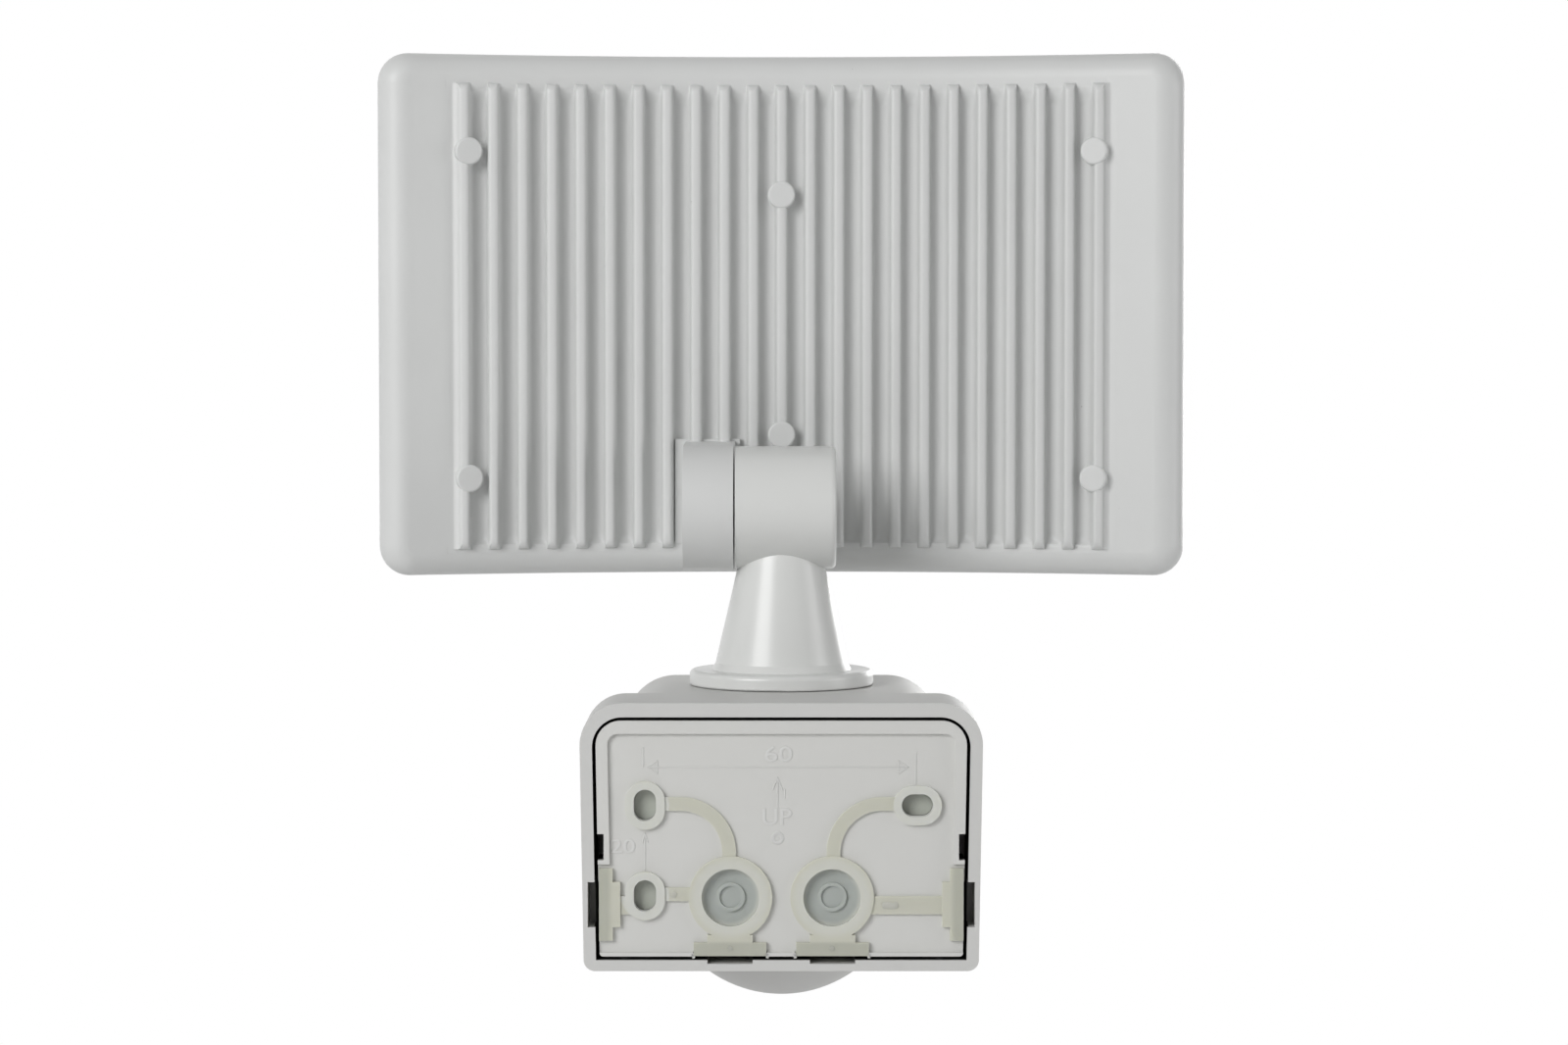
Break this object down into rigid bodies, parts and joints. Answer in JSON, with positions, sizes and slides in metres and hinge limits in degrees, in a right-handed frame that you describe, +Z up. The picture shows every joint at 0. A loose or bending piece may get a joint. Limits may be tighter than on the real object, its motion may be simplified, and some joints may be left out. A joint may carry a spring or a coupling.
{
  "type": "motion sensor floodlight",
  "caption": "Wall floodlight: wide curved ribbed lamp head on a tilt hinge and swivel neck above a small box housing with a dome motion sensor beneath.",
  "frame": {"origin": "on the wall plane, in the middle of the housing's width, at the height of the upper fixing slots", "axes": "+Z up, +Y into the wall, -Y the way the lamp and the sensor face"},
  "size_m": [0.189, 0.099, 0.2204],
  "materials": {
    "white_casting": "white powder coat, satin",
    "white_plastic": "satin moulded",
    "gloss_white_plastic": "glossy moulded",
    "seal_rubber": "soft translucent elastomer",
    "milky_lens": "milky polyethylene",
    "opal_diffuser": "opal",
    "black_plastic": "satin",
    "grey_plastic": "satin",
    "black_rubber": "matt",
    "circuit_board": "solder mask",
    "capacitor_can": "sleeved",
    "bare_aluminium": "white coated",
    "led_yellow": "phosphor",
    "steel": "zinc plated"
  },
  "bodies": {
    "base": {"sensor_housing": "white_plastic", "wall_plate": "white_plastic", "right_plate_seal": "seal_rubber", "left_plate_seal": "seal_rubber", "sensor_lens": "milky_lens", "sensor_holder": "black_plastic", "control_board": "circuit_board", "board_screws": "steel", "relay": "black_plastic", "transformer": "black_plastic", "capacitor": "capacitor_can", "potentiometers": "black_plastic", "sensor_board": "circuit_board", "pir_detector": "steel", "holder_screws": "steel", "terminal_block": "white_plastic", "terminal_screws": "steel", "housing_screws": "steel"},
    "neck": {"neck": "gloss_white_plastic", "barrel_cap": "gloss_white_plastic", "swivel_nut": "black_plastic", "swivel_washer": "steel", "swivel_seal": "black_rubber"},
    "head": {"head_housing": "white_casting", "led_board": "bare_aluminium", "led_screws": "steel", "led_chips": "led_yellow", "led_connector": "white_plastic", "diffuser": "opal_diffuser", "diffuser_seal": "black_rubber", "tilt_bolt": "steel", "tilt_washer": "steel", "tilt_nut": "steel"},
    "time_dial": {"time_dial": "grey_plastic"},
    "dusk_dial": {"dusk_dial": "grey_plastic"}
  },
  "joints": [
    {"name": "pan", "type": "hinge", "parent": "base", "child": "neck", "pos_m": [0, -0.048, 0.0226], "axis": [0, 0, 1], "range_deg": [-90, 90]},
    {"name": "tilt", "type": "hinge", "parent": "neck", "child": "head", "pos_m": [0, -0.048, 0.0636], "axis": [1, 0, 0], "range_deg": [-30, 30]},
    {"name": "time_turn", "type": "hinge", "parent": "base", "child": "time_dial", "pos_m": [-0.016, -0.025, -0.0366], "axis": [0, 0, 1], "range_deg": [0, 270]},
    {"name": "dusk_turn", "type": "hinge", "parent": "base", "child": "dusk_dial", "pos_m": [0.016, -0.025, -0.0366], "axis": [0, 0, 1], "range_deg": [0, 270]}
  ]
}
